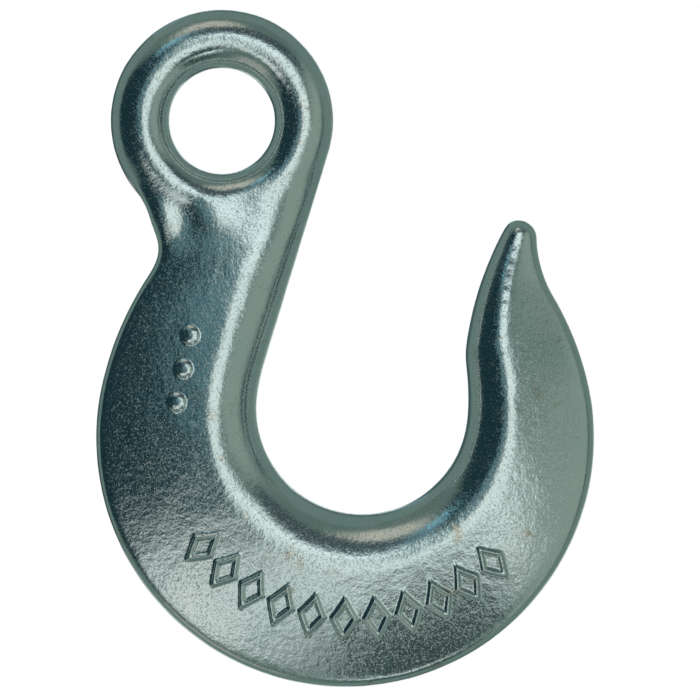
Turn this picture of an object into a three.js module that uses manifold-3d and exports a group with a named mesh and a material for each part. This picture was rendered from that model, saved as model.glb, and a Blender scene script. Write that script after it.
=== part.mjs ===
// Eye hook of drop-forged, zinc-plated steel for 3/8 in (10 mm) chain, in one piece. Millimetres.
//
// The hook lies in the XZ plane: its die-parting plane is y = 0 and its marked face looks towards -Y.
// The origin is the centre of the eye, +Z points up out of the bowl and +X towards the tip's side.
//
// The body is a loft between two outlines that run side by side from the eye, down the shank, round the
// bowl and up to the tip: the throat line on the load side and the back line on the outside. A ring is
// joined to its top end, and the eye is cut through both.

import * as THREE from "three";
import { mergeVertices } from "three/addons/utils/BufferGeometryUtils.js";
import Module from "manifold-3d";

// The eye: a ring that is thickest along its crest
const EYE_BORE_RADIUS = 9.5;
const EYE_CREST_RADIUS = 14.4;
const EYE_OUTER_RADIUS = 20.05;
const EYE_HALF_THICKNESS = 5.5;

// The two outlines leave the ring at these angles, measured round the eye from +X. Each is a chain of
// tangent legs: [length] is a straight, and [radius, turn] is an arc that turns by so many degrees,
// anticlockwise if positive.
const THROAT_LINE = {
  angle: -17,
  turnIn: -90,
  shank: [[39.6], [34, 9.6]],
  bowl: [[19, 183.4]],
  point: [[46, 11], [16.5, -15], [60, -21]],
  tip: [[3, -61]],
};
const BACK_LINE = {
  angle: -140,
  turnIn: 90,
  shank: [[2.6], [10.5, -73.7], [60, 19.5]],
  bowl: [[44.8, 208.7]],
  point: [[55, 16], [22, -29.3]],
  tip: [[3.2, 88.8]],
};
const STRETCHES = ["shank", "bowl", "point", "tip"];

// How the cross-section changes along the body: one entry at each end and at the middle of the shank, the
// bowl and the point, in that order. crest is the distance from the throat line to the thickest place, as
// a share of the width; thick is the half thickness there, and edge the half thickness that the cheek
// slopes down to at the back line, before the back edge is rounded off over the last round millimetres.
const SECTIONS = [
  { crest: 0.3, thick: 5, edge: 3.8, round: 2.2 },
  { crest: 0.34, thick: 7.2, edge: 4.7, round: 1.5 },
  { crest: 0.3, thick: 8, edge: 4.4, round: 1.4 },
  { crest: 0.3, thick: 8.2, edge: 4.4, round: 1.6 },
  { crest: 0.36, thick: 7.7, edge: 3.6, round: 2.4 },
  { crest: 0.37, thick: 6.5, edge: 3, round: 2.4 },
  { crest: 0.5, thick: 3.9, edge: 2.7, round: 2.4 },
];
const CHEEK_BOW = 0.012; // how far the cheeks bulge, as a share of the width
const EDGE_POWER = 3; // how square the rounding of the back edge is: 2 would be an ellipse

// Fineness of the faceted surface
const ROWS = { shank: 16, bowl: 30, point: 14, tip: 6 };
const THROAT_STEPS = 6;
const CHEEK_STEPS = 4;
const EDGE_STEPS = 4;
const EYE_SEGMENTS = 64;
const EYE_ROUND_STEPS = 6;

const STEEL = new THREE.MeshStandardMaterial({ color: 0xaab2b0, roughness: 0.38, metalness: 1 });

const wasm = await Module();
wasm.setup();

function towards(heading) {
  return new THREE.Vector2(Math.cos(heading), Math.sin(heading));
}

// One THREE.Path for each stretch of an outline.
function outline(line) {
  const start = THREE.MathUtils.degToRad(line.angle);
  let place = towards(start).multiplyScalar(EYE_OUTER_RADIUS);
  let heading = start + THREE.MathUtils.degToRad(line.turnIn);

  function follow(legs) {
    const path = new THREE.Path();
    path.moveTo(place.x, place.y);
    for (const [size, turnDegrees] of legs) {
      if (turnDegrees === undefined) {
        place = towards(heading).multiplyScalar(size).add(place);
        path.lineTo(place.x, place.y);
      } else {
        const turn = THREE.MathUtils.degToRad(turnDegrees);
        const toCentre = heading + (Math.sign(turn) * Math.PI) / 2;
        const centre = towards(toCentre).multiplyScalar(size).add(place);
        const from = toCentre + Math.PI;
        path.absarc(centre.x, centre.y, size, from, from + turn, turn < 0);
        place = towards(from + turn).multiplyScalar(size).add(centre);
        heading += turn;
      }
    }
    return path;
  }

  return Object.fromEntries(STRETCHES.map((name) => [name, follow(line[name])]));
}

// One measure of the section at a place along the body, from 0 at the eye to 1 where the tip begins to
// round off.
function measureAt(key, share) {
  const through = SECTIONS.map((section, index) => new THREE.Vector2(index, section[key]));
  return new THREE.SplineCurve(through).getPoint(Math.min(share, 1)).y;
}

// The stations of the loft, from the eye to the tip: matching points of the two outlines, and the
// section there.
function stations() {
  const throat = outline(THROAT_LINE);
  const back = outline(BACK_LINE);
  const tipWidth = throat.tip.getPoint(0).distanceTo(back.tip.getPoint(0));
  const made = [];
  STRETCHES.forEach((name, index) => {
    for (let row = index === 0 ? 0 : 1; row <= ROWS[name]; row++) {
      const inner = throat[name].getPointAt(row / ROWS[name]);
      const outer = back[name].getPointAt(row / ROWS[name]);
      const width = inner.distanceTo(outer);
      const share = (index + row / ROWS[name]) / (STRETCHES.length - 1);
      const rounding = name === "tip" ? width / tipWidth : 1;
      made.push({
        inner,
        outer,
        width,
        saddle: width * measureAt("crest", share),
        shoulder: width - Math.min(measureAt("round", share), width / 2),
        thick: rounding * measureAt("thick", share),
        edge: rounding * measureAt("edge", share),
      });
    }
  });
  return made;
}

// Point number step of a station's half section, as [distance from the throat line, height]: a quarter
// ellipse over the throat side, the sloping cheek, and the same slope carried on and rounded off at the
// back edge.
function halfSection({ width, saddle, shoulder, thick, edge }, step) {
  if (step <= THROAT_STEPS) {
    const turn = (step / THROAT_STEPS) * (Math.PI / 2);
    return [saddle * (1 - Math.cos(turn)), thick * Math.sin(turn)];
  }
  const cheekHeight = (across) => {
    const share = (across - saddle) / (width - saddle);
    return THREE.MathUtils.lerp(thick, edge, share) + CHEEK_BOW * width * Math.sin(Math.PI * share);
  };
  if (step <= THROAT_STEPS + CHEEK_STEPS) {
    const across = THREE.MathUtils.lerp(saddle, shoulder, (step - THROAT_STEPS) / CHEEK_STEPS);
    return [across, cheekHeight(across)];
  }
  const turn = ((step - THROAT_STEPS - CHEEK_STEPS) / EDGE_STEPS) * (Math.PI / 2);
  const across = THREE.MathUtils.lerp(shoulder, width, Math.sin(turn) ** (2 / EDGE_POWER));
  return [across, cheekHeight(across) * Math.max(Math.cos(turn), 0) ** (2 / EDGE_POWER)];
}

// The body is a sphere bent to shape. Its poles go to the two ends of the loft, each circle of latitude
// between them becomes a station's section, and the first half of its longitudes covers the face
// towards +Y.
function bodyGeometry() {
  const along = stations();
  const halfSteps = THROAT_STEPS + CHEEK_STEPS + EDGE_STEPS;
  const geometry = new THREE.SphereGeometry(1, 2 * halfSteps, along.length);
  const position = geometry.getAttribute("position");
  const uv = geometry.getAttribute("uv");
  for (let i = 0; i < position.count; i++) {
    const row = Math.round((1 - uv.getY(i)) * along.length);
    const { inner, outer, width, ...section } = along[Math.max(row - 1, 0)];
    if (row === 0 || row === along.length) {
      const end = inner.clone().lerp(outer, 0.5);
      position.setXYZ(i, end.x, 0, end.y);
    } else {
      const step = Math.round(uv.getX(i) * 2 * halfSteps);
      const rear = step <= halfSteps;
      const [across, height] = halfSection({ width, ...section }, rear ? step : 2 * halfSteps - step);
      const place = inner.clone().lerp(outer, across / width);
      position.setXYZ(i, place.x, rear ? height : -height, place.y);
    }
  }
  return geometry;
}

// A quarter ellipse of the ring's section, from the parting plane at edgeRadius up to the crest.
function ringQuarter(edgeRadius) {
  return Array.from({ length: EYE_ROUND_STEPS + 1 }, (_, step) => {
    const turn = (step / EYE_ROUND_STEPS) * (Math.PI / 2);
    const radius = THREE.MathUtils.lerp(EYE_CREST_RADIUS, edgeRadius, Math.cos(turn));
    return new THREE.Vector2(radius, EYE_HALF_THICKNESS * Math.sin(turn));
  });
}

// A lathe about the eye's axis. The profile is given from the parting plane up to the axis, and mirrored
// below it.
function eyeLathe(upper) {
  const lower = upper.slice(1).reverse();
  const mirrored = lower.map((point) => new THREE.Vector2(point.x, -point.y));
  return new THREE.LatheGeometry([...mirrored, ...upper], EYE_SEGMENTS);
}

function discGeometry() {
  return eyeLathe([...ringQuarter(EYE_OUTER_RADIUS), new THREE.Vector2(0, EYE_HALF_THICKNESS)]);
}

// What is cut out for the eye: an hourglass that leaves the inner half of the ring, and clears the body
// above it.
function boreGeometry() {
  const top = 2 * EYE_HALF_THICKNESS;
  const clearance = [new THREE.Vector2(EYE_CREST_RADIUS, top), new THREE.Vector2(0, top)];
  return eyeLathe([...ringQuarter(EYE_BORE_RADIUS), ...clearance]);
}

function toSolid(geometry) {
  const bare = geometry.clone();
  bare.deleteAttribute("normal");
  bare.deleteAttribute("uv");
  const merged = mergeVertices(bare);
  return new wasm.Manifold(
    new wasm.Mesh({
      numProp: 3,
      vertProperties: merged.getAttribute("position").array,
      triVerts: new Uint32Array(merged.index.array),
    }),
  );
}

function toGeometry(solid) {
  const { vertProperties, triVerts } = solid.getMesh();
  const geometry = new THREE.BufferGeometry();
  geometry.setAttribute("position", new THREE.BufferAttribute(vertProperties, 3));
  geometry.setIndex(new THREE.BufferAttribute(triVerts, 1));
  geometry.computeVertexNormals();
  return geometry;
}

const blank = toSolid(bodyGeometry()).add(toSolid(discGeometry()));
const forging = new THREE.Mesh(toGeometry(blank.subtract(toSolid(boreGeometry()))), STEEL);
forging.name = "forged_hook";

const hook = new THREE.Group();
hook.add(forging);

export default hook;
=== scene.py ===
import math

import bmesh
import bpy
import numpy as np
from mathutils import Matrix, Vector, noise


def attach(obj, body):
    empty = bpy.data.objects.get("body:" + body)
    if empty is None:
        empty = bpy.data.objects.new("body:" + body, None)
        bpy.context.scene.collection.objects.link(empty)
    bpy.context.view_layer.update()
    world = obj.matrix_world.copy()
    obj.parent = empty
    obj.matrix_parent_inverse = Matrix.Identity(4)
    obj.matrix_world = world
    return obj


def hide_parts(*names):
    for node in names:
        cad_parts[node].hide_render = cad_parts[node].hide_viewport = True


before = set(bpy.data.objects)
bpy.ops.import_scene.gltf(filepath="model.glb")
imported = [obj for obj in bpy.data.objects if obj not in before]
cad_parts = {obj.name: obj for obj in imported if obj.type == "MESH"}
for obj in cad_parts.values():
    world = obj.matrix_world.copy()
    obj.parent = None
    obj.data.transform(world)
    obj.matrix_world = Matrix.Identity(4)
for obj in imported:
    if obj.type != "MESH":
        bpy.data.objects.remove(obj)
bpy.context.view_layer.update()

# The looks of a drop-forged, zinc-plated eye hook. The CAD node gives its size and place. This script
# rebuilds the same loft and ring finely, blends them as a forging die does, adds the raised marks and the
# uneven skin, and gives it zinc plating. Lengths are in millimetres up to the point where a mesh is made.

NODE = "forged_hook"
MM = 0.001

# ------------------------------------------------ driving dimensions, as in the CAD model
EYE_BORE_RADIUS = 9.5
EYE_CREST_RADIUS = 14.4
EYE_CREST_OFFSET = 0.35  # towards +X, only here
EYE_OUTER_RADIUS = 20.05
EYE_HALF_THICKNESS = 5.5
# Each outline leaves the ring at its angle and is a chain of tangent legs: (length,) is a straight, and
# (radius, turn) is an arc that turns by so many degrees, anticlockwise if positive.
THROAT_LINE = {
    "angle": -17,
    "turn_in": -90,
    "shank": [(39.6,), (34, 9.6)],
    "bowl": [(19, 183.4)],
    "point": [(46, 11), (16.5, -15), (60, -21)],
    "tip": [(3, -61)],
}
BACK_LINE = {
    "angle": -140,
    "turn_in": 90,
    "shank": [(2.6,), (10.5, -73.7), (60, 19.5)],
    "bowl": [(44.8, 208.7)],
    "point": [(55, 16), (22, -29.3)],
    "tip": [(3.2, 88.8)],
}
STRETCHES = ("shank", "bowl", "point", "tip")
# The section at each end and at the middle of the shank, the bowl and the point: where its thickest place
# is, as a share of the width from the throat line; the half thickness there; the half thickness that the
# cheek slopes down to at the back line; and how wide the rounding of the back edge is.
CREST_SHARE = (0.3, 0.34, 0.3, 0.3, 0.36, 0.37, 0.5)
CREST_THICK = (5, 7.2, 8, 8.2, 7.7, 6.5, 3.9)
EDGE_THICK = (3.8, 4.7, 4.4, 4.4, 3.6, 3, 2.7)
EDGE_ROUND = (2.2, 1.5, 1.4, 1.6, 2.4, 2.4, 2.4)
CHEEK_BOW = 0.012  # how far the cheeks bulge, as a share of the width
EDGE_POWER = 3  # how square the rounding of the back edge is: 2 would be an ellipse

# ------------------------------------------------ fineness
ROWS = {"shank": 100, "bowl": 260, "point": 100, "tip": 24}
THROAT_STEPS = 24
CHEEK_STEPS = 30
EDGE_STEPS = 14
EYE_SEGMENTS = 240
EYE_ROUND_STEPS = 20
VOXEL = 0.475


# ------------------------------------------------ the two outlines and the sections between them
def leg_point(start, heading, bend, run):
    """A point run millimetres along a leg of constant curvature bend."""
    if bend == 0:
        return start + run * np.array([math.cos(heading), math.sin(heading)])
    end = heading + bend * run
    return start + np.array([math.sin(end) - math.sin(heading), math.cos(heading) - math.cos(end)]) / bend


def outline(line):
    """Evenly spaced points for each stretch of an outline."""
    angle = math.radians(line["angle"])
    place = EYE_OUTER_RADIUS * np.array([math.cos(angle), math.sin(angle)])
    heading = angle + math.radians(line["turn_in"])
    points = {}
    for name in STRETCHES:
        legs = []
        for size, *turn in line[name]:
            turned = math.radians(turn[0]) if turn else 0
            bend = math.copysign(1 / size, turned) if turn else 0
            run = size * abs(turned) if turn else size
            legs.append((run, place, heading, bend))
            place = leg_point(place, heading, bend, run)
            heading += turned
        ends = np.cumsum([leg[0] for leg in legs])
        points[name] = []
        for along in np.linspace(0, ends[-1], ROWS[name] + 1):
            k = min(int(np.searchsorted(ends, along - 1e-9)), len(legs) - 1)
            run, start, toward, bend = legs[k]
            points[name].append(leg_point(start, toward, bend, along - (ends[k] - run)))
    return points


def through(values, share):
    """The smooth curve through evenly spaced values, at a share of its length."""
    last = len(values) - 1
    k = min(int(share * last), last - 1)
    t = share * last - k
    a, b, c, d = (values[min(max(k + step, 0), last)] for step in (-1, 0, 1, 2))
    return 0.5 * (2 * b + (c - a) * t + (2 * a - 5 * b + 4 * c - d) * t**2 + (3 * b - a - 3 * c + d) * t**3)


def half_section(width, share, rounding):
    """Distances from the throat line and heights of half a section of the body."""
    saddle = width * through(CREST_SHARE, share)
    shoulder = width - min(through(EDGE_ROUND, share), width / 2)
    thick = rounding * through(CREST_THICK, share)
    edge = rounding * through(EDGE_THICK, share)

    def cheek(across):
        part = (across - saddle) / (width - saddle)
        return thick + (edge - thick) * part + CHEEK_BOW * width * np.sin(math.pi * part)

    turn = np.linspace(0, math.pi / 2, THROAT_STEPS + 1)
    throat = saddle * (1 - np.cos(turn))
    flat = np.linspace(saddle, shoulder, CHEEK_STEPS + 1)[1:]
    turn_back = np.linspace(0, math.pi / 2, EDGE_STEPS + 1)[1:]
    back = shoulder + (width - shoulder) * np.sin(turn_back) ** (2 / EDGE_POWER)
    fall = np.maximum(np.cos(turn_back), 0) ** (2 / EDGE_POWER)
    fall[-1] = 0
    return (
        np.concatenate([throat, flat, back]),
        np.concatenate([thick * np.sin(turn), cheek(flat), cheek(back) * fall]),
    )


def new_mesh(name, points, faces):
    """An object in metres from points in millimetres."""
    mesh = bpy.data.meshes.new(name)
    mesh.from_pydata([tuple(p) for p in np.asarray(points) * MM], [], faces)
    mesh.validate()
    piece = bpy.data.objects.new(name, mesh)
    bpy.context.scene.collection.objects.link(piece)
    return piece


def closed_surface(name, rings, first_pole, last_pole):
    """A closed mesh through rings of points, with a pole at each end."""
    count = len(rings[0])
    points = [p for ring in rings for p in ring] + [first_pole, last_pole]
    faces = []
    for r in range(len(rings) - 1):
        for k in range(count):
            here, beside = r * count + k, r * count + (k + 1) % count
            faces.append((here, beside, beside + count, here + count))
    top, bottom = len(points) - 2, len(points) - 1
    last = (len(rings) - 1) * count
    for k in range(count):
        faces.append((top, (k + 1) % count, k))
        faces.append((bottom, last + k, last + (k + 1) % count))
    return new_mesh(name, points, faces)


def body_blank():
    """The shank, bowl and point as one closed loft."""
    throat, back = outline(THROAT_LINE), outline(BACK_LINE)
    tip_width = np.linalg.norm(throat["tip"][0] - back["tip"][0])
    rings = []
    for index, name in enumerate(STRETCHES):
        for row in range(0 if index == 0 else 1, ROWS[name] + 1):
            inner, outer = throat[name][row], back[name][row]
            width = np.linalg.norm(outer - inner)
            if name == "tip" and row == ROWS[name]:
                break
            share = min((index + row / ROWS[name]) / (len(STRETCHES) - 1), 1)
            across, height = half_section(width, share, width / tip_width if name == "tip" else 1)
            place = inner + (outer - inner) * (across / width)[:, None]
            upper = [(x, h, z) for (x, z), h in zip(place, height)]
            rings.append(upper + [(x, -h, z) for x, h, z in upper[-2:0:-1]])
    start = (throat["shank"][0] + back["shank"][0]) / 2
    end = (throat["tip"][-1] + back["tip"][-1]) / 2
    return closed_surface("body", rings, (start[0], 0, start[1]), (end[0], 0, end[1]))


def eye_lathe(name, edge_radius, top):
    """A closed ring-shaped tool about the eye's axis, whose flank is a quarter ellipse from the crest."""
    turn = np.linspace(-math.pi / 2, math.pi / 2, 2 * EYE_ROUND_STEPS + 1)
    spin = np.linspace(0, 2 * math.pi, EYE_SEGMENTS, endpoint=False)
    crest = EYE_CREST_RADIUS + EYE_CREST_OFFSET * np.cos(spin)
    levels = [(np.cos(t), EYE_HALF_THICKNESS * np.sin(t)) for t in turn]
    if top > EYE_HALF_THICKNESS:
        levels = [(0, -top), *levels, (0, top)]
    rings = []
    for share, height in levels:
        radius = crest + (edge_radius - crest) * share
        rings.append([(r * math.cos(a), height, r * math.sin(a)) for r, a in zip(radius, spin)])
    return closed_surface(name, rings, (0, -top, 0), (0, top, 0))


def apply_modifier(piece, kind, **settings):
    modifier = piece.modifiers.new(kind.lower(), kind)
    for key, value in settings.items():
        setattr(modifier, key, value)
    with bpy.context.temp_override(object=piece, active_object=piece, selected_objects=[piece]):
        bpy.ops.object.modifier_apply(modifier=modifier.name)


def forging_blank():
    """The body and the ring as one skin of even squares, with the eye cut through."""
    hook = body_blank()
    disc = eye_lathe("disc", EYE_OUTER_RADIUS, EYE_HALF_THICKNESS)
    bore = eye_lathe("bore", EYE_BORE_RADIUS, 2 * EYE_HALF_THICKNESS)
    for piece in (hook, disc, bore):
        skin = bmesh.new()
        skin.from_mesh(piece.data)
        bmesh.ops.recalc_face_normals(skin, faces=skin.faces)
        skin.to_mesh(piece.data)
        skin.free()
    apply_modifier(hook, "BOOLEAN", object=disc, operation="UNION", solver="EXACT")
    apply_modifier(hook, "BOOLEAN", object=bore, operation="DIFFERENCE", solver="EXACT")
    for tool in (disc, bore):
        bpy.data.objects.remove(tool)
    apply_modifier(hook, "REMESH", mode="VOXEL", voxel_size=VOXEL * MM)
    hook.name = hook.data.name = "zinc_plated_hook"
    return hook


# ------------------------------------------------ the forging's own unevenness
def read_points(mesh):
    flat = np.empty(len(mesh.vertices) * 3)
    mesh.vertices.foreach_get("co", flat)
    return flat.reshape(-1, 3) / MM


def write_points(mesh, points):
    mesh.vertices.foreach_set("co", (points * MM).ravel())
    mesh.update()


def read_normals(mesh):
    flat = np.empty(len(mesh.vertices) * 3)
    mesh.vertex_normals.foreach_get("vector", flat)
    return flat.reshape(-1, 3)


def fade(value, start, end):
    """0 at start and before it, 1 at end and past it, smooth between."""
    t = np.clip((np.asarray(value) - start) / (end - start), 0, 1)
    return t * t * (3 - 2 * t)


def relax(mesh, points, strength, rounds):
    """Move each point towards the mean of its neighbours, as far as its own strength."""
    ends = np.empty(len(mesh.edges) * 2, dtype=int)
    mesh.edges.foreach_get("vertices", ends)
    first, second = ends.reshape(-1, 2).T
    count = np.bincount(ends, minlength=len(points))[:, None]
    for _ in range(rounds):
        total = np.column_stack([
            np.bincount(first, points[second, axis], len(points))
            + np.bincount(second, points[first, axis], len(points))
            for axis in range(3)
        ])
        points = points + strength[:, None] * (total / count - points)
    return points


def lumps(points, size, seed):
    """Smooth random heights, about -1 to 1, whose lumps are size millimetres apart."""
    shift = Vector((17.3 * seed, 5.1 * seed, -9.7 * seed))
    return np.array([noise.noise(Vector(p) + shift, noise_basis="PERLIN_ORIGINAL") for p in points / size])


# How many times each smoothing of the skin is repeated
SKIN_ROUNDS = 5
CREST_ROUNDS = 12
JUNCTION_ROUNDS = 40


def smooth_skin(mesh, points):
    """Take the steps out of the remeshed skin, and round the crests that look forward or back."""
    points = relax(mesh, points, np.full(len(points), 0.5), SKIN_ROUNDS)
    return relax(mesh, points, 0.5 * fade(np.abs(read_normals(mesh)[:, 1]), 0.9, 0.97), CREST_ROUNDS)


def smooth_junction(mesh, points):
    """Blend the ring into the shank."""
    radius = np.hypot(points[:, 0], points[:, 2])
    angle = np.degrees(np.arctan2(points[:, 2], points[:, 0]))
    near = fade(radius, 14.6, 16.5) * fade(radius, 24, 20.5)
    below = fade(angle, 0, -20) * fade(angle, -160, -140)
    off_parting = fade(np.abs(points[:, 1]), 1.2, 2.8)
    return relax(mesh, points, 0.5 * near * below * off_parting, JUNCTION_ROUNDS)


# Broad swellings of both faces where the die blends the neck into the eye: x, z, long and short radius, the
# turn of the long one from +X in degrees, and height
SWELLS = (
    (-13, -14, 5, 2.4, -45, 0.6),
    (-12.2, -18.5, 3.6, 3.6, 0, 1.3),
    (-2, -17.5, 4, 3.5, 0, 0.5),
)


def swollen(points, normals):
    """The points with the swellings, which stop short of the parting plane."""
    rise = np.zeros(len(points))
    for x, z, long, short, turn, height in SWELLS:
        turn = math.radians(turn)
        along = (points[:, 0] - x) * math.cos(turn) + (points[:, 2] - z) * math.sin(turn)
        aside = (points[:, 2] - z) * math.cos(turn) - (points[:, 0] - x) * math.sin(turn)
        rise += height * np.exp(-((along / long) ** 2) - (aside / short) ** 2)
    rise *= fade(np.abs(points[:, 1]), 1.5, 3)
    return points + normals * rise[:, None]


# ------------------------------------------------ raised marks on the front face
LOZENGE_ARC_CENTRE = (23.8, -54.5)
LOZENGE_ARC_RADIUS = 34.9
LOZENGE_ANGLES = np.linspace(-141, -45, 11)
LOZENGE_HALF_WIDE, LOZENGE_HALF_HIGH = 2, 3.2
PIPS = ((-5.6, -38.6), (-6.8, -44.6), (-8, -50.6))
PIP_RADIUS = 1.7
MARK_HEIGHT = 0.45
STROKE_HALF_WIDTH = 0.6


def lozenge_place(points):
    """For each point, how far it is around the marks' arc from +X, and how far outside the arc."""
    x = points[:, 0] - LOZENGE_ARC_CENTRE[0]
    z = points[:, 2] - LOZENGE_ARC_CENTRE[1]
    return np.arctan2(z, x) * LOZENGE_ARC_RADIUS, np.hypot(x, z) - LOZENGE_ARC_RADIUS


def mark_rise(points):
    """How high the lozenges' outlines and the domed pips stand at each point, on the front face only."""
    around, out = lozenge_place(points)
    steep = math.hypot(1 / LOZENGE_HALF_WIDE, 1 / LOZENGE_HALF_HIGH)
    rise = np.zeros(len(points))
    for angle in LOZENGE_ANGLES:
        aside = np.abs(around - math.radians(angle) * LOZENGE_ARC_RADIUS) / LOZENGE_HALF_WIDE
        apart = np.abs(aside + np.abs(out) / LOZENGE_HALF_HIGH - 1) / steep
        rise = np.maximum(rise, fade(apart, STROKE_HALF_WIDTH, 0.1))
    for x, z in PIPS:
        apart = np.hypot(points[:, 0] - x, points[:, 2] - z) / PIP_RADIUS
        rise = np.maximum(rise, np.sqrt(np.maximum(1 - apart**2, 0)))
    return MARK_HEIGHT * rise * fade(points[:, 1], -1, -3)


def refine_marks(mesh):
    """Halve the squares where the marks stand."""
    skin = bmesh.new()
    skin.from_mesh(mesh)
    points = np.array([v.co[:] for v in skin.verts]) / MM
    around, out = lozenge_place(points)
    ends = np.radians([LOZENGE_ANGLES[0] - 5, LOZENGE_ANGLES[-1] + 5]) * LOZENGE_ARC_RADIUS
    near = (np.abs(out) < LOZENGE_HALF_HIGH + 1) & (around > ends[0]) & (around < ends[1])
    for x, z in PIPS:
        near |= np.hypot(points[:, 0] - x, points[:, 2] - z) < PIP_RADIUS + 0.6
    near &= points[:, 1] < -2
    edges = [e for e in skin.edges if near[e.verts[0].index] and near[e.verts[1].index]]
    bmesh.ops.subdivide_edges(skin, edges=edges, cuts=1, use_grid_fill=True)
    skin.to_mesh(mesh)
    skin.free()


# The unevenness left by the die: how far apart the lumps are, and how high
SKIN_LUMPS = ((5, 0.03), (1.6, 0.012))

hook = forging_blank()
points = read_points(hook.data)
points = smooth_skin(hook.data, points)
points = smooth_junction(hook.data, points)
write_points(hook.data, points)
write_points(hook.data, swollen(points, read_normals(hook.data)))
refine_marks(hook.data)
points = read_points(hook.data)
rise = mark_rise(points) + sum(height * lumps(points, size, size) for size, height in SKIN_LUMPS)
write_points(hook.data, points + read_normals(hook.data) * rise[:, None])
for polygon in hook.data.polygons:
    polygon.use_smooth = True


# ------------------------------------------------ zinc plating
def node_of(tree, kind, settings=None, **inputs):
    """A new node with its settings. Inputs go by name or by number, as i0, i1 and so on, and a socket given
    for one is linked to it."""
    node = tree.nodes.new(kind)
    for name, value in (settings or {}).items():
        setattr(node, name, value)
    for name, value in inputs.items():
        socket = node.inputs[int(name[1:])] if name[0] == "i" and name[1:].isdigit() else node.inputs[name]
        if isinstance(value, bpy.types.NodeSocket):
            tree.links.new(value, socket)
        else:
            socket.default_value = value
    return node


def ramp(tree, value, start, end, low=0.0, high=1.0):
    """A value scaled so that start gives low and end gives high, and held there beyond them."""
    scaled = node_of(tree, "ShaderNodeMapRange", Value=value)
    limits = {"From Min": start, "From Max": end, "To Min": low, "To Max": high}
    for name, limit in limits.items():
        scaled.inputs[name].default_value = limit
    return scaled.outputs[0]


def bump(tree, height, depth, strength, under=None):
    """The shading normal over a height from 0 to 1 that is depth metres deep, on top of another bump."""
    node = node_of(tree, "ShaderNodeBump", Height=height, Strength=strength, Distance=depth)
    if under is not None:
        tree.links.new(under, node.inputs["Normal"])
    return node.outputs["Normal"]


# The pitted skin: how many pits of each kind there are in a metre, and how deep they are in metres
PEBBLES, PEBBLE_DEPTH = 1000, 0.00004
GRAINS, GRAIN_DEPTH = 3600, 0.000006
DIMPLES, DIMPLE_DEPTH = 2200, 0.000009
DIMPLE_WANDER = 0.0004  # how far, in metres, the dimples are shifted out of their even pattern
WALL_BUMP = 0.15  # how much of the bump is left on walls, which the die scrubs smoother than the faces
FROSTED = 3000  # frosted flecks in a metre
GLOSSY_ROUGHNESS, FROSTED_ROUGHNESS = 0.14, 0.45
CLOUDS, BLUISH_ZINC, WARM_ZINC = 90, (0.68, 0.73, 0.72, 1), (0.76, 0.77, 0.755, 1)
STAINS, RUST, RUST_STRENGTH = 170, (0.5, 0.36, 0.24, 1), 0.6


def zinc_normal(tree, coordinates, wandering):
    """Pebbles, fine grain and dimples, weaker on the walls."""
    where = coordinates.outputs["Object"]
    facing = node_of(tree, "ShaderNodeSeparateXYZ", i0=coordinates.outputs["Normal"])
    level = node_of(tree, "ShaderNodeMath", {"operation": "ABSOLUTE"}, i0=facing.outputs["Y"])
    strength = ramp(tree, level.outputs[0], 0.7, 0.84, WALL_BUMP)
    pebble = node_of(tree, "ShaderNodeTexNoise", Vector=where, Scale=PEBBLES, Detail=2)
    grain = node_of(tree, "ShaderNodeTexNoise", Vector=where, Scale=GRAINS, Detail=2, Roughness=0.6)
    dimple = node_of(tree, "ShaderNodeTexVoronoi", Vector=wandering, Scale=DIMPLES)
    coarse = bump(tree, pebble.outputs["Fac"], PEBBLE_DEPTH, strength)
    fine = bump(tree, grain.outputs["Fac"], GRAIN_DEPTH, strength, coarse)
    return bump(tree, dimple.outputs["Distance"], DIMPLE_DEPTH, strength, fine)


def zinc_colour(tree, where):
    """Zinc that clouds from bluish to warm, with a few faint rust stains."""
    cloud = node_of(tree, "ShaderNodeTexNoise", Vector=where, Scale=CLOUDS, Detail=4)
    tint = node_of(tree, "ShaderNodeValToRGB", Fac=cloud.outputs["Fac"])
    bluish, warm = tint.color_ramp.elements
    bluish.position, bluish.color = 0.3, BLUISH_ZINC
    warm.position, warm.color = 0.7, WARM_ZINC
    blot = node_of(tree, "ShaderNodeTexNoise", Vector=where, Scale=STAINS, Detail=5, Roughness=0.7)
    stain = ramp(tree, blot.outputs["Fac"], 0.61, 0.7, 0, RUST_STRENGTH)
    zinc = tint.outputs["Color"]
    return node_of(tree, "ShaderNodeMix", {"data_type": "RGBA"}, i0=stain, i6=zinc, i7=RUST).outputs[2]


def zinc_plating():
    material = bpy.data.materials.new("zinc_plated_steel")
    material.use_nodes = True
    tree = material.node_tree
    shader = tree.nodes["Principled BSDF"]
    shader.inputs["Metallic"].default_value = 1
    coordinates = node_of(tree, "ShaderNodeTexCoord")
    where = coordinates.outputs["Object"]
    wander = node_of(tree, "ShaderNodeTexNoise", Vector=where, Scale=1500, Detail=1).outputs["Color"]
    shift = node_of(tree, "ShaderNodeVectorMath", {"operation": "SCALE"}, i0=wander, Scale=DIMPLE_WANDER)
    moved = node_of(tree, "ShaderNodeVectorMath", {"operation": "ADD"}, i0=where, i1=shift.outputs[0])
    wandering = moved.outputs[0]
    fleck = node_of(tree, "ShaderNodeTexNoise", Vector=wandering, Scale=FROSTED, Detail=2, Roughness=0.6)
    roughness = ramp(tree, fleck.outputs["Fac"], 0.5, 0.68, GLOSSY_ROUGHNESS, FROSTED_ROUGHNESS)
    tree.links.new(zinc_normal(tree, coordinates, wandering), shader.inputs["Normal"])
    tree.links.new(zinc_colour(tree, where), shader.inputs["Base Color"])
    tree.links.new(roughness, shader.inputs["Roughness"])
    return material


hook.data.materials.append(zinc_plating())
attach(hook, "root")
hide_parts(NODE)


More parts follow.
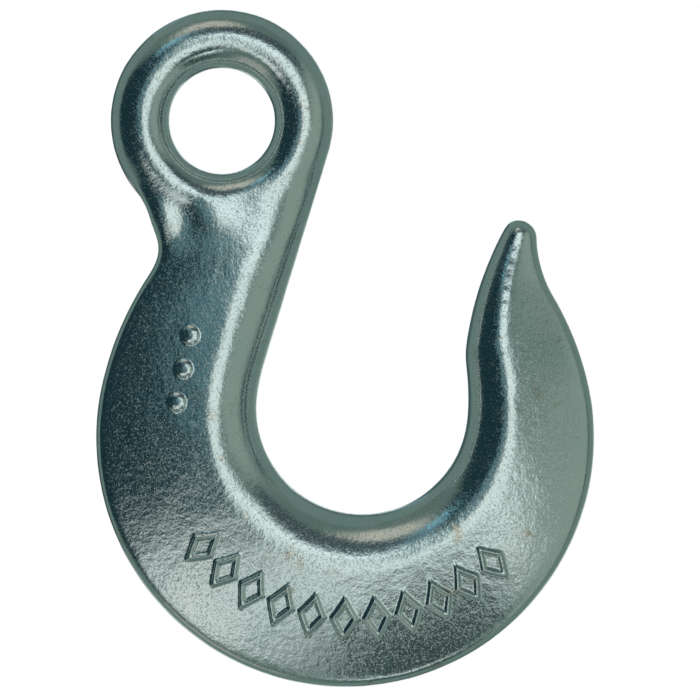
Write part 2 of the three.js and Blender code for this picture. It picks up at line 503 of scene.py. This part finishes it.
# ------------------------------------------------ studio
# Each panel has a name, its right, up, half width and half height in degrees, its turn, how soft its rim
# is, and its colour. The degrees are the tilt, from facing the viewer, of the facets that mirror the panel.
# Later ones cover earlier ones.
PANELS = (
    ("gray at the right", 24, -9, 12, 30, -15, 0.4, (0.28, 0.37, 0.33)),
    ("dark, low right", 11, -30, 10.5, 9.5, 0, 0.3, (0.04, 0.08, 0.07)),
    ("dark at the left", -27, 3, 24.5, 19, 0, 0.2, (0.01, 0.035, 0.045)),
    ("blue haze", -6.5, 4, 3, 5, 0, 0.7, (0.1, 0.22, 0.26)),
    ("gray, low left", -21, -37, 12, 14, 15, 0.4, (0.37, 0.39, 0.36)),
    ("bright, upper", 2.5, 14, 8, 12.5, 15, 0.25, (0.95, 1.15, 1.15)),
    ("bright, lower", 5, -11, 8, 17, 5, 0.15, (0.85, 0.99, 0.97)),
    ("bright, left", -8.5, -10, 6.5, 4, 15, 0.5, (0.78, 0.88, 0.86)),
    ("shade on the lower bright one", 6, -15, 8.5, 7, -20, 0.35, (0.04, 0.07, 0.07)),
    ("blue strip", -5, 16.5, 11, 4, -15, 0.3, (0.28, 0.62, 0.75)),
    ("beige at the top", -5, 30, 10.5, 8, 10, 0.4, (0.57, 0.57, 0.5)),
    ("dark, upper right", 8, 19, 17.5, 8, 5, 0.25, (0.06, 0.09, 0.1)),
    ("seam, far right", 41.5, -9, 2, 17, 0, 0.4, (0.05, 0.09, 0.09)),
)
BASE = (0.12, 0.19, 0.17)
BACKDROP = (0.163, 0.247, 0.226)
HORIZON = (43, 46)  # the tilt over which the front panels give way to the backdrop
REAR_HORIZON = (26, 14)  # the same for the panels behind, from the backdrop inwards
REAR_POWER = 0.8
WHITE = (1, 1, 1, 1)
FLOOR_SIZE, FLOOR_HEIGHT, PALE = 3, -0.25, (0.8, 0.8, 0.79, 1)


def smooth_mask(tree, value, start, end):
    """0 on start's side and 1 on end's side, smooth between."""
    mask = node_of(tree, "ShaderNodeMapRange", {"interpolation_type": "SMOOTHSTEP"}, Value=value)
    mask.inputs["From Min"].default_value = start
    mask.inputs["From Max"].default_value = end
    return mask.outputs[0]


def blend(tree, share, under, over):
    """The colour over laid on the colour under by a share."""
    below, above = [(*colour, 1) if isinstance(colour, tuple) else colour for colour in (under, over)]
    return node_of(tree, "ShaderNodeMix", {"data_type": "RGBA"}, i0=share, i6=below, i7=above).outputs[2]


def facet_tilt(tree, direction, viewer):
    """How the facet leans that mirrors a direction to a viewer far off along Y: by how many degrees, and
    the same split into right and up."""
    def calculate(operation, first, second=0.0):
        return node_of(tree, "ShaderNodeMath", {"operation": operation}, i0=first, i1=second).outputs[0]

    halfway = node_of(tree, "ShaderNodeVectorMath", {"operation": "ADD"}, i0=direction, i1=(0, viewer, 0))
    facet = node_of(tree, "ShaderNodeVectorMath", {"operation": "NORMALIZE"}, i0=halfway.outputs[0])
    parts = node_of(tree, "ShaderNodeSeparateXYZ", i0=facet.outputs[0])
    tilt = calculate("ARCCOSINE", calculate("MULTIPLY", parts.outputs["Y"], viewer))
    stretch = calculate("DIVIDE", tilt, calculate("MAXIMUM", calculate("SINE", tilt), 1e-4))
    degrees = calculate("MULTIPLY", stretch, 180 / math.pi)
    right = calculate("MULTIPLY", parts.outputs["X"], degrees)
    up = calculate("MULTIPLY", parts.outputs["Z"], degrees)
    chart = node_of(tree, "ShaderNodeCombineXYZ", X=right, Y=up).outputs[0]
    return calculate("MULTIPLY", tilt, 180 / math.pi), chart


def lay_panels(tree, chart):
    """The colour of the panels over the base, where each direction is given by its place on the chart."""
    light = BASE
    for _, right, up, wide, high, turn, soft, colour in PANELS:
        place = node_of(tree, "ShaderNodeMapping", {"vector_type": "TEXTURE"}, Vector=chart,
                        Location=(right, up, 0), Rotation=(0, 0, math.radians(turn)), Scale=(wide, high, 1))
        reach = node_of(tree, "ShaderNodeVectorMath", {"operation": "LENGTH"}, i0=place.outputs[0])
        mask = smooth_mask(tree, reach.outputs["Value"], 1 + soft, 1 - soft)
        light = blend(tree, mask, light, colour)
    return light


def studio_light():
    """Panels before and behind the hook, a plain backdrop between, and white for the camera to see."""
    world = bpy.data.worlds.new("studio")
    bpy.context.scene.world = world
    world.use_nodes = True
    tree = world.node_tree
    tree.nodes.clear()
    direction = node_of(tree, "ShaderNodeTexCoord").outputs["Generated"]
    front_tilt, front_chart = facet_tilt(tree, direction, -1)
    rear_tilt, rear_chart = facet_tilt(tree, direction, 1)
    front = lay_panels(tree, front_chart)
    rear = blend(tree, 1 - REAR_POWER, lay_panels(tree, rear_chart), BACKDROP)
    light = blend(tree, smooth_mask(tree, front_tilt, *HORIZON), front, BACKDROP)
    light = blend(tree, smooth_mask(tree, rear_tilt, *REAR_HORIZON), light, rear)
    panels = node_of(tree, "ShaderNodeBackground", Color=light)
    white = node_of(tree, "ShaderNodeBackground", Color=WHITE)
    seen = node_of(tree, "ShaderNodeLightPath").outputs["Is Camera Ray"]
    choice = node_of(tree, "ShaderNodeMixShader", i0=seen, i1=panels.outputs[0], i2=white.outputs[0])
    node_of(tree, "ShaderNodeOutputWorld", Surface=choice.outputs[0])


def floor():
    bpy.ops.mesh.primitive_plane_add(size=FLOOR_SIZE, location=(0, 0, FLOOR_HEIGHT))
    plane = bpy.context.object
    plane.name = "floor"
    material = bpy.data.materials.new("pale_floor")
    material.use_nodes = True
    tree = material.node_tree
    shader = tree.nodes["Principled BSDF"]
    shader.inputs["Base Color"].default_value = PALE
    shader.inputs["Roughness"].default_value = 0.9
    plane.data.materials.append(material)
    plane.visible_glossy = False


def floor_light():
    """A broad light over the floor that the metal doesn't mirror."""
    data = bpy.data.lights.new("overhead", "AREA")
    data.shape = "DISK"
    data.size = 1.5
    data.energy = 26
    lamp = bpy.data.objects.new("overhead", data)
    bpy.context.scene.collection.objects.link(lamp)
    lamp.location = (0, 0, 1.2)
    lamp.visible_glossy = False


def camera():
    """A far camera with a long lens, straight in front of the marked face."""
    data = bpy.data.cameras.new("camera")
    data.lens = 400
    data.clip_end = 20
    piece = bpy.data.objects.new("camera", data)
    bpy.context.scene.collection.objects.link(piece)
    piece.location = (0.02304, -1.4, -0.04122)
    piece.rotation_euler = (math.radians(90), 0, 0)
    bpy.context.scene.camera = piece


studio_light()
floor()
floor_light()
camera()
bpy.context.scene.view_settings.view_transform = "Standard"
